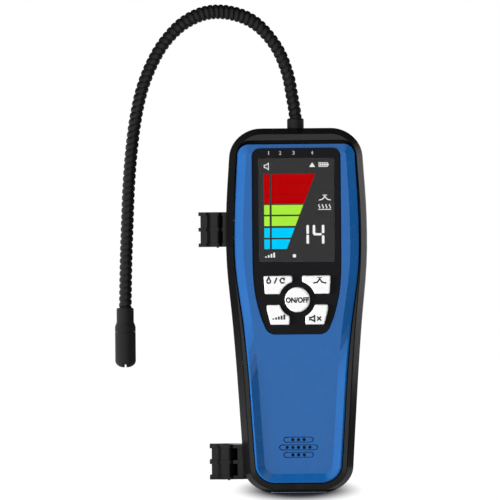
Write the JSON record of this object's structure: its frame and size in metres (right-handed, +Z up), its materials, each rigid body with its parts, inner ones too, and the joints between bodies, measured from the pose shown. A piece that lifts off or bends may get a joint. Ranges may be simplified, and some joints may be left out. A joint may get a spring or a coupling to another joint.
{
  "type": "refrigerant leak detector",
  "caption": "Upright handheld gas leak detector with a waisted two-tone housing, colour display, press keys, side clips and a ribbed gooseneck that carries a capped sensor.",
  "frame": {"origin": "middle of the flat foot pad that the housing stands on", "axes": "+Z up along the housing, -Y towards the user, +X to the user's right"},
  "size_m": [0.1394, 0.0346, 0.2693],
  "materials": {
    "case_black": "fine moulded texture",
    "cover_blue": "satin moulded",
    "panel_black": "satin film",
    "window_clear": "clear lens",
    "module_dark": "dull",
    "key_white": "satin",
    "mat_rubber": "dull",
    "board_green": "solder resist",
    "switch_grey": "dull",
    "screw_steel": "plated",
    "contact_steel": "plated",
    "collar_black": "satin",
    "neck_black": "dull coating",
    "tip_black": "satin",
    "sensor_metal": "drawn can",
    "clip_black": "satin",
    "cell_jacket": "plain jacket"
  },
  "bodies": {
    "housing": {"rear_case": "case_black", "front_cover": "cover_blue", "face_panel": "panel_black", "display_window": "window_clear", "display_module": "module_dark", "keypad_mat": "mat_rubber", "main_board": "board_green", "key_switches": "switch_grey", "board_screws": "screw_steel", "buzzer": "module_dark", "neck_collar": "collar_black", "neck_nut": "screw_steel", "gooseneck": "neck_black", "probe_sleeve": "tip_black", "sensor_element": "sensor_metal", "upper_clip": "clip_black", "lower_clip": "clip_black", "clip_screws": "screw_steel", "battery_cell_1": "cell_jacket", "battery_cell_2": "cell_jacket", "battery_cell_3": "cell_jacket", "battery_springs": "contact_steel", "battery_plates": "contact_steel", "case_screws": "screw_steel", "foot_pad": "mat_rubber"},
    "power_key": {"key_power": "key_white"},
    "gas_key": {"key_gas": "key_white"},
    "peak_key": {"key_peak": "key_white"},
    "sens_key": {"key_sens": "key_white"},
    "mute_key": {"key_mute": "key_white"},
    "cap": {"sensor_cap": "tip_black"},
    "door": {"battery_door": "case_black", "door_screw": "screw_steel"}
  },
  "joints": [
    {"name": "power_key_press", "type": "slide", "parent": "housing", "child": "power_key", "axis": [0, 1, 0], "range_m": [0, 0.001], "stiffness_N_per_m": 400},
    {"name": "gas_key_press", "type": "slide", "parent": "housing", "child": "gas_key", "axis": [0, 1, 0], "range_m": [0, 0.001], "stiffness_N_per_m": 400},
    {"name": "peak_key_press", "type": "slide", "parent": "housing", "child": "peak_key", "axis": [0, 1, 0], "range_m": [0, 0.001], "stiffness_N_per_m": 400},
    {"name": "sens_key_press", "type": "slide", "parent": "housing", "child": "sens_key", "axis": [0, 1, 0], "range_m": [0, 0.001], "stiffness_N_per_m": 400},
    {"name": "mute_key_press", "type": "slide", "parent": "housing", "child": "mute_key", "axis": [0, 1, 0], "range_m": [0, 0.001], "stiffness_N_per_m": 400},
    {"name": "cap_removal", "type": "slide", "parent": "housing", "child": "cap", "axis": [0, 0, -1], "range_m": [0, 0.026]},
    {"name": "door_removal", "type": "slide", "parent": "housing", "child": "door", "axis": [0, 1, 0], "range_m": [0, 0.03]}
  ]
}
